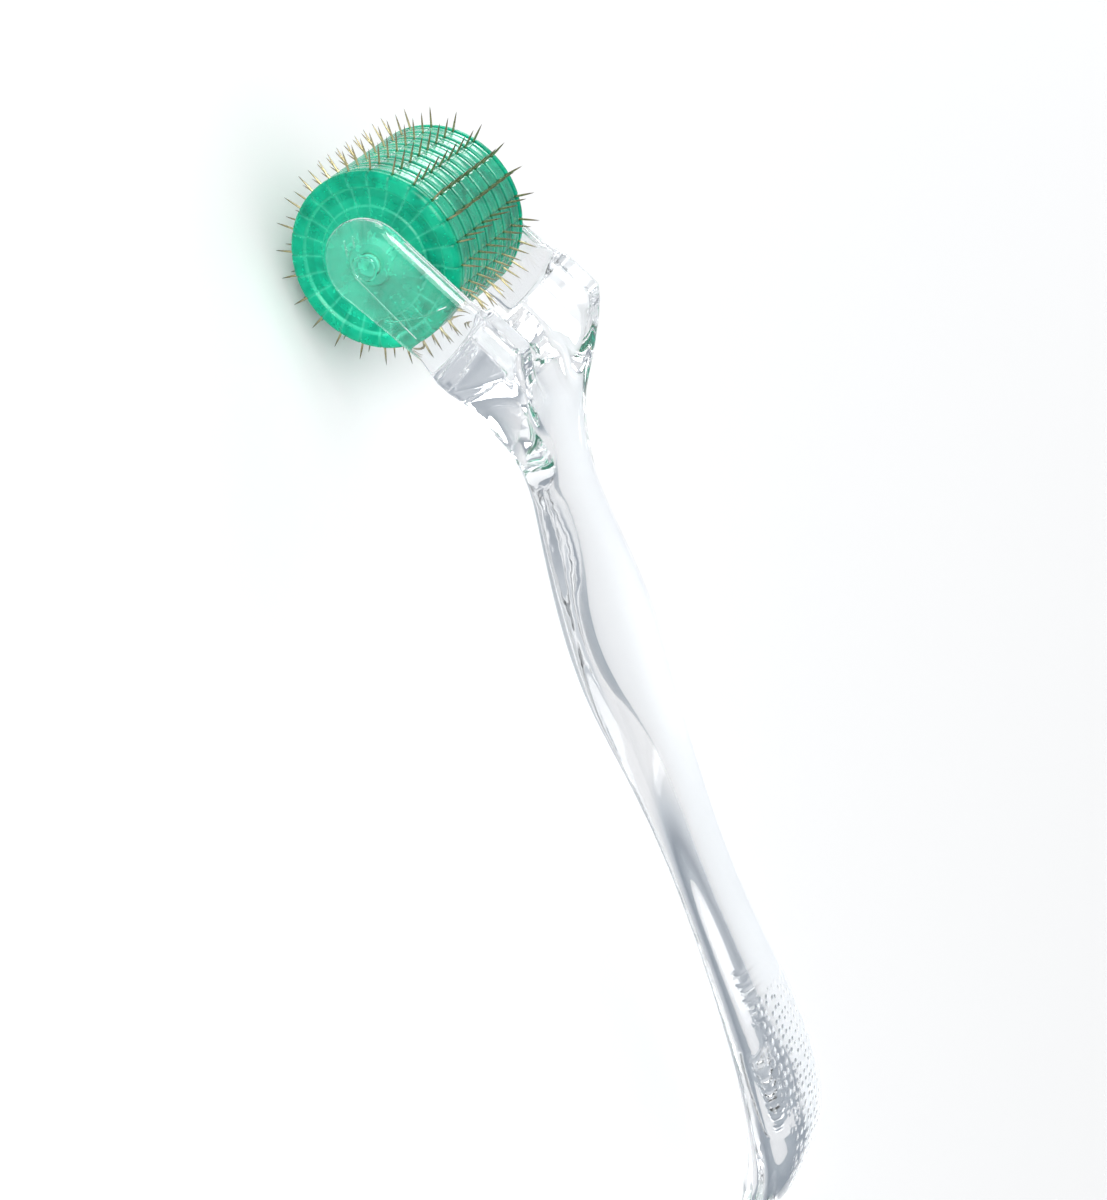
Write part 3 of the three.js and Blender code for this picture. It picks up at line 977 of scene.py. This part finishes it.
class DERMA_OT_needles(bpy.types.Operator):
    """Make the eight rings of twenty-four needles on their carrier rings"""

    bl_idname = "derma_roller.make_needles"
    bl_label = "Needle rings"

    def execute(self, context):
        settings = context.scene.derma_roller
        material = needle_material(tuple(settings.gold))
        stations = np.array([*NEEDLE_STATIONS, settings.tip_radius])
        thick = settings.needle_diameter / 2 * np.array(NEEDLE_TAPER)
        around = full_turn(NEEDLE_SIDES)
        # Needles by stations by sides: a is a needle's angle, out the radius, wide and deep its thickness.
        a = needle_angles()[:, None, None]
        out = stations[None, :, None]
        wide = thick[None, :, None] * np.cos(around)[None, None, :]
        deep = thick[None, :, None] * np.sin(around)[None, None, :]
        x = out * np.cos(a) - wide * np.sin(a)
        z = out * np.sin(a) + wide * np.cos(a)
        reach = (out - NEEDLE_ROOT) / (settings.tip_radius - NEEDLE_ROOT) + 0 * x
        tube = grid_faces(len(stations), NEEDLE_SIDES, False, True)
        stride = len(stations) * NEEDLE_SIDES
        tube += [list(range(NEEDLE_SIDES)), [stride - 1 - k for k in range(NEEDLE_SIDES)]]
        starts = range(0, NEEDLES_PER_RING * stride, stride)
        needle_faces = [[start + k for k in face] for start in starts for face in tube]
        for ring in range(RING_COUNT):
            middle = first_ring(settings) + ring * settings.pitch
            needles = np.stack(np.broadcast_arrays(x, middle + deep, z), -1).reshape(-1, 3)
            low, high = middle - CARRIER_HALF, middle + CARRIER_HALF
            corners = [(CARRIER_INNER, low), (CARRIER_OUTER, low), (CARRIER_OUTER, high), (CARRIER_INNER, high)]
            carrier_points, carrier_faces = turned(rounded(corners, [0.03] * 4, 2), full_turn(96))
            faces = needle_faces + [[len(needles) + k for k in face] for face in carrier_faces]
            piece = add_mesh(
                f"needles_{ring + 1}", np.concatenate([needles, carrier_points]), faces, ROLLER_BODY,
                [f"needle_ring_{ring + 1}"],
            )
            add_value(piece, "towards_tip", np.concatenate([reach.ravel(), np.zeros(len(carrier_points))]))
            piece.data.materials.append(material)
        return {"FINISHED"}


class DERMA_OT_hub(bpy.types.Operator):
    """Make the hub sleeve and the three stack pins inside the discs"""

    bl_idname = "derma_roller.make_hub"
    bl_label = "Hub and stack pins"

    def execute(self, context):
        material = green_plastic_material("green_hub", tuple(context.scene.derma_roller.green))
        half = HUB_HALF
        corners = [(HUB_BORE, -half), (HUB_RADIUS, -half), (HUB_RADIUS, half), (HUB_BORE, half)]
        points, faces = turned(rounded(corners, [0.1] * 4, 3), full_turn(64))
        hub = add_mesh("hub_sleeve", points, faces, ROLLER_BODY, ["hub"])
        hub.data.materials.append(material)
        half = DOWEL_HALF
        corners = [(0.0, -half), (DOWEL_RADIUS, -half), (DOWEL_RADIUS, half), (0.0, half)]
        profile = rounded(corners, [0, 0.1, 0.1, 0], 3)
        # A pinhole of 0.01 mm down the middle keeps the grid's points apart there.
        profile[:, 0] = np.maximum(profile[:, 0], 0.01)
        points, faces = turned(profile, full_turn(20))
        for i in range(1, 4):
            low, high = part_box(f"stack_pin_{i}")
            middle = (np.array(low) + np.array(high)) / 2 - AXLE
            pin = add_mesh(
                f"stack_dowel_{i}", points + middle / MM, faces, ROLLER_BODY,
                [f"stack_pin_{i}"],
            )
            pin.data.materials.append(material)
        return {"FINISHED"}


# ---------- stage ----------

# Sky colours from below to above. Shiny and clear surfaces see the studio, everything else the even sky.
STUDIO_SKY = [
    (0.0, (0.42, 0.47, 0.52)), (0.28, (0.32, 0.36, 0.41)), (0.5, (0.66, 0.70, 0.74)),
    (0.75, (0.98, 0.98, 0.98)),
]
EVEN_SKY = [(0.0, (0.34, 0.36, 0.38)), (0.5, (0.82, 0.82, 0.82))]

# Light panels: name, place and size in metres, watts, and whether dull surfaces see it too.
PANELS = (
    ("front_panel", (-0.35, -0.7, 0.5), (0.5, 0.5), 3.4, True),
    ("back_panel", (-0.52, 0.75, 0.17), (0.6, 0.3), 4.2, True),
    ("left_panel", (-0.75, -0.2, 0.35), (0.35, 0.2), 0.9, True),
    ("shine_panel", (-0.34, -0.50, 0.64), (0.42, 0.42), 9.0, False),
)

# The camera's place in mm from the axle's centre, and the ways that it looks and that its top points.
EYE_PLACE = (-53.823, -358.684, 210.380)
EYE_AHEAD = (0.239185, 0.834566, -0.496276)
EYE_UP = (-0.881736, 0.400724, 0.248920)

# The floor lies this far, in metres, under the needle tips that stand on it.
FLOOR_DROP = 0.00005


class DERMA_OT_stage(bpy.types.Operator):
    """Make the floor, the soft studio light and the camera"""

    bl_idname = "derma_roller.make_stage"
    bl_label = "Stage"

    def execute(self, context):
        settings = context.scene.derma_stage
        scene = context.scene
        half = settings.floor_size / 2
        mesh = bpy.data.meshes.new("floor")
        corners = [(-half, -half, 0), (half, -half, 0), (half, half, 0), (-half, half, 0)]
        mesh.from_pydata(corners, [], [(0, 1, 2, 3)])
        floor = bpy.data.objects.new("floor", mesh)
        scene.collection.objects.link(floor)
        floor.location.z = -FLOOR_DROP
        material, tree, shader, _ = new_material("pale_floor")
        shader.inputs["Roughness"].default_value = 0.6
        pale = tuple(settings.floor_colour)
        cloud = ramp(tree, noise(tree, 3.0), [(0.3, scaled(pale, 0.985)), (0.7, pale)])
        tree.links.new(cloud, shader.inputs["Base Color"])
        mesh.materials.append(material)

        world = bpy.data.worlds.new("studio")
        scene.world = world
        world.use_nodes = True
        tree = world.node_tree
        background = tree.nodes["Background"]
        place = node(tree, "ShaderNodeTexCoord")
        split = node(tree, "ShaderNodeSeparateXYZ")
        tree.links.new(place.outputs["Generated"], split.inputs["Vector"])
        studio = ramp(tree, split.outputs["Z"], STUDIO_SKY)
        even = ramp(tree, split.outputs["Z"], EVEN_SKY)
        path = node(tree, "ShaderNodeLightPath")
        shiny = combine(tree, "MAXIMUM", path.outputs["Is Glossy Ray"], path.outputs["Is Transmission Ray"])
        tree.links.new(mixed(tree, shiny, even, studio), background.inputs["Color"])
        background.inputs["Strength"].default_value = 1.0

        for name, spot, size, energy, fills in PANELS:
            lamp = bpy.data.lights.new(name, "AREA")
            lamp.shape = "RECTANGLE"
            lamp.size, lamp.size_y = size
            lamp.energy = energy
            panel = bpy.data.objects.new(name, lamp)
            scene.collection.objects.link(panel)
            panel.location = spot
            panel.rotation_euler = (-Vector(spot)).to_track_quat("-Z", "Y").to_euler()
            panel.visible_camera = False
            panel.visible_diffuse = fills

        camera = bpy.data.cameras.new("camera")
        camera.lens = settings.lens
        camera.sensor_width = 36.0
        camera.clip_start = 0.01
        camera.clip_end = 50.0
        eye = bpy.data.objects.new("camera", camera)
        scene.collection.objects.link(eye)
        ahead, up = Vector(EYE_AHEAD).normalized(), Vector(EYE_UP).normalized()
        turn = Matrix((ahead.cross(up), up, -ahead)).transposed()
        eye.matrix_world = Matrix.Translation(Vector(AXLE) + Vector(EYE_PLACE) * MM) @ turn.to_4x4()
        scene.camera = eye
        scene.view_settings.view_transform = "Standard"
        scene.cycles.sample_clamp_indirect = 4.0
        scene.cycles.max_bounces = 32
        scene.cycles.transmission_bounces = 32
        scene.cycles.glossy_bounces = 16
        scene.cycles.transparent_max_bounces = 24
        return {"FINISHED"}


# ---------- panel ----------

PIECES = (DERMA_OT_handle, DERMA_OT_axle, DERMA_OT_hub, DERMA_OT_discs, DERMA_OT_caps, DERMA_OT_needles)


class DERMA_PT_panel(bpy.types.Panel):
    """Lists the pieces and the stage"""

    bl_idname = "DERMA_PT_panel"
    bl_label = "Derma roller"
    bl_space_type = "VIEW_3D"
    bl_region_type = "UI"
    bl_category = "Derma roller"

    def draw(self, context):
        for operator in (*PIECES, DERMA_OT_stage):
            self.layout.operator(operator.bl_idname)
        for settings in (context.scene.derma_handle, context.scene.derma_roller, context.scene.derma_stage):
            box = self.layout.box()
            for name in settings.__annotations__:
                box.prop(settings, name)


SETTINGS = {"derma_handle": HandleSettings, "derma_roller": RollerSettings, "derma_stage": StageSettings}
CLASSES = (*SETTINGS.values(), *PIECES, DERMA_OT_stage, DERMA_PT_panel)


def register():
    for made in CLASSES:
        bpy.utils.register_class(made)
    for name, group in SETTINGS.items():
        setattr(bpy.types.Scene, name, bpy.props.PointerProperty(type=group))


def unregister():
    for name in SETTINGS:
        delattr(bpy.types.Scene, name)
    for made in reversed(CLASSES):
        bpy.utils.unregister_class(made)


def main():
    register()
    bpy.ops.derma_roller.make_stage()
    bpy.ops.derma_roller.make_handle()
    bpy.ops.derma_roller.make_axle()
    bpy.ops.derma_roller.make_hub()
    bpy.ops.derma_roller.make_discs()
    bpy.ops.derma_roller.make_caps()
    bpy.ops.derma_roller.make_needles()


if __name__ == "__main__":
    main()
